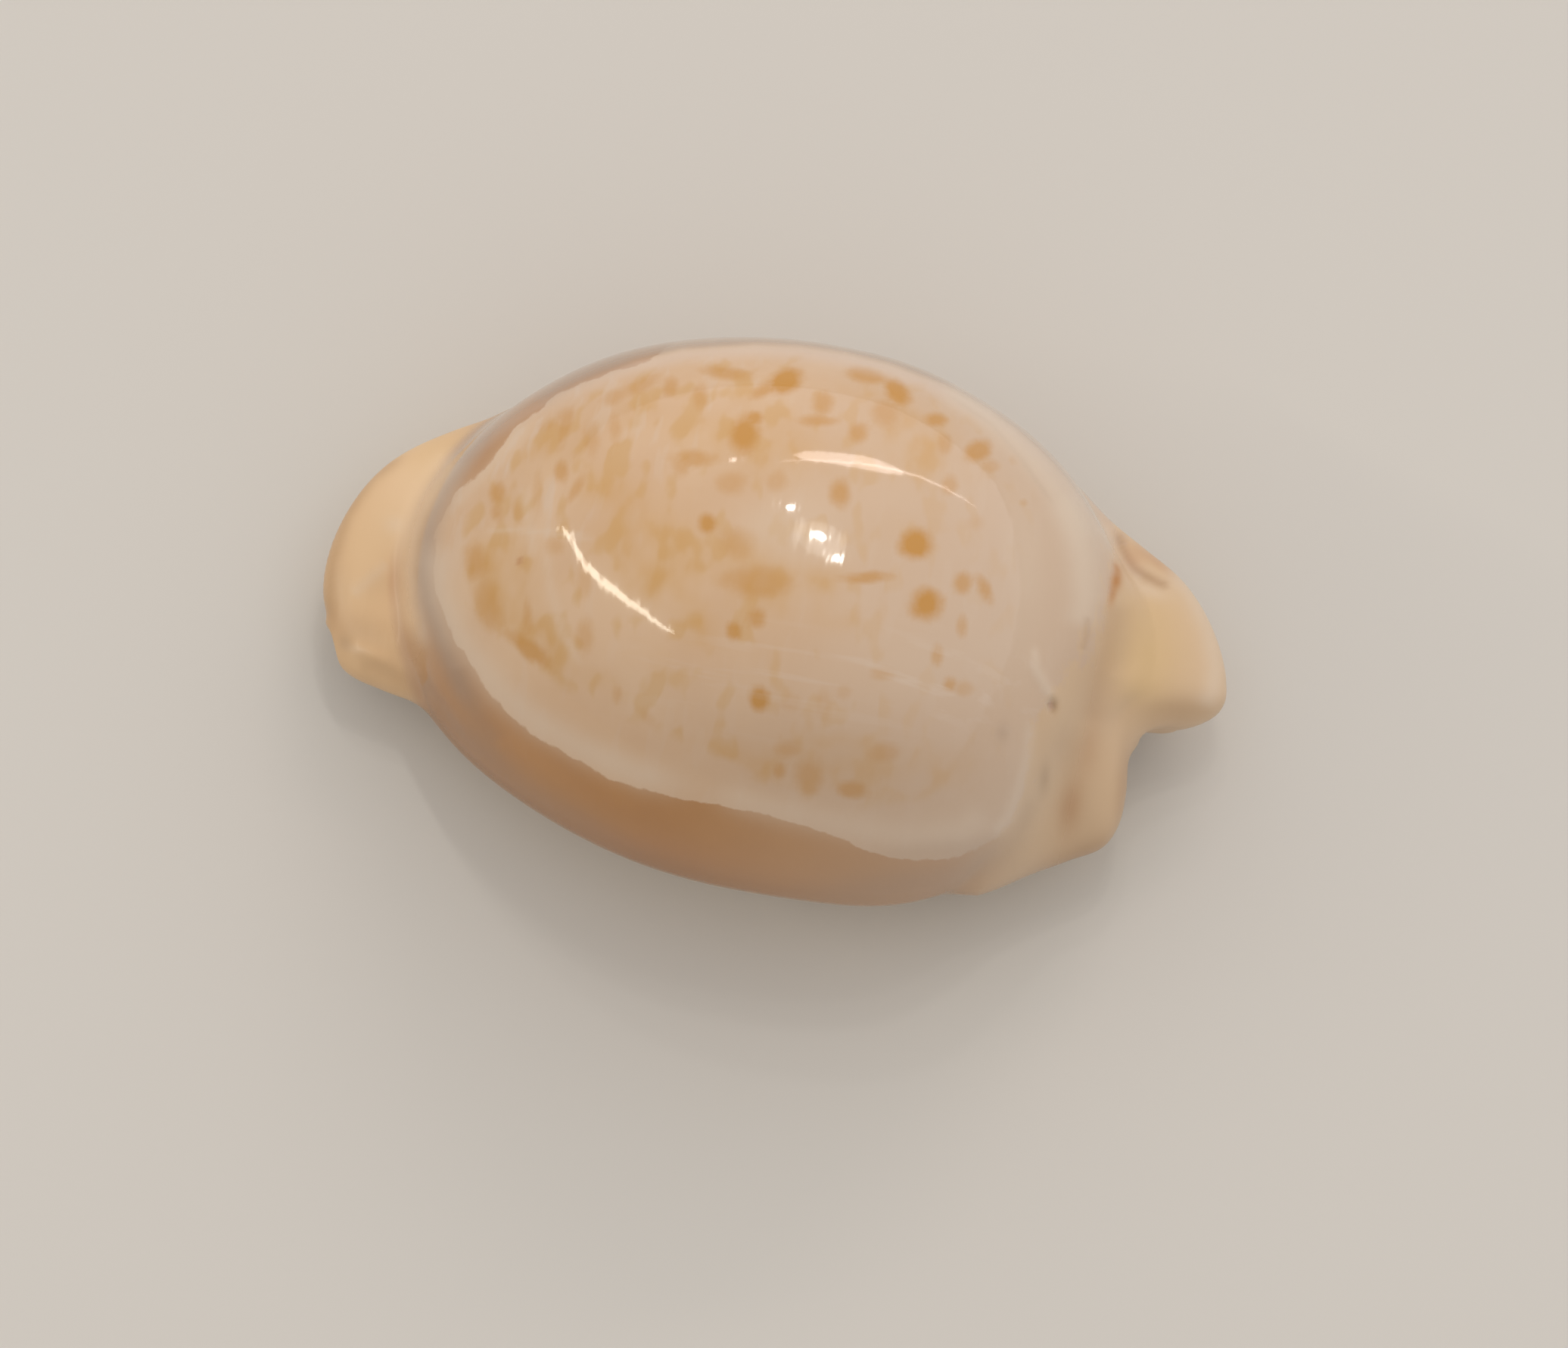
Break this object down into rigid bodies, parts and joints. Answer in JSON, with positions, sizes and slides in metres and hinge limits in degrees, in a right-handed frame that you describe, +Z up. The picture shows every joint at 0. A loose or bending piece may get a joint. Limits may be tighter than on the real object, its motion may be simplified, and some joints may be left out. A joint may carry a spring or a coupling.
{
  "type": "cowrie shell",
  "caption": "Small glossy cowrie shell with a domed back, a toothed slot aperture underneath and a thick callus lobe at each end.",
  "frame": {"origin": "centre of the shell's bounding box at the height of the ground it rests on", "axes": "+X towards the posterior end, +Y towards the outer-lip side, +Z up through the back; the aperture faces down"},
  "size_m": [0.0386, 0.0236, 0.0195],
  "materials": {
    "shell": "natural high gloss"
  },
  "bodies": {
    "root": {"shell": "shell"}
  },
  "joints": []
}
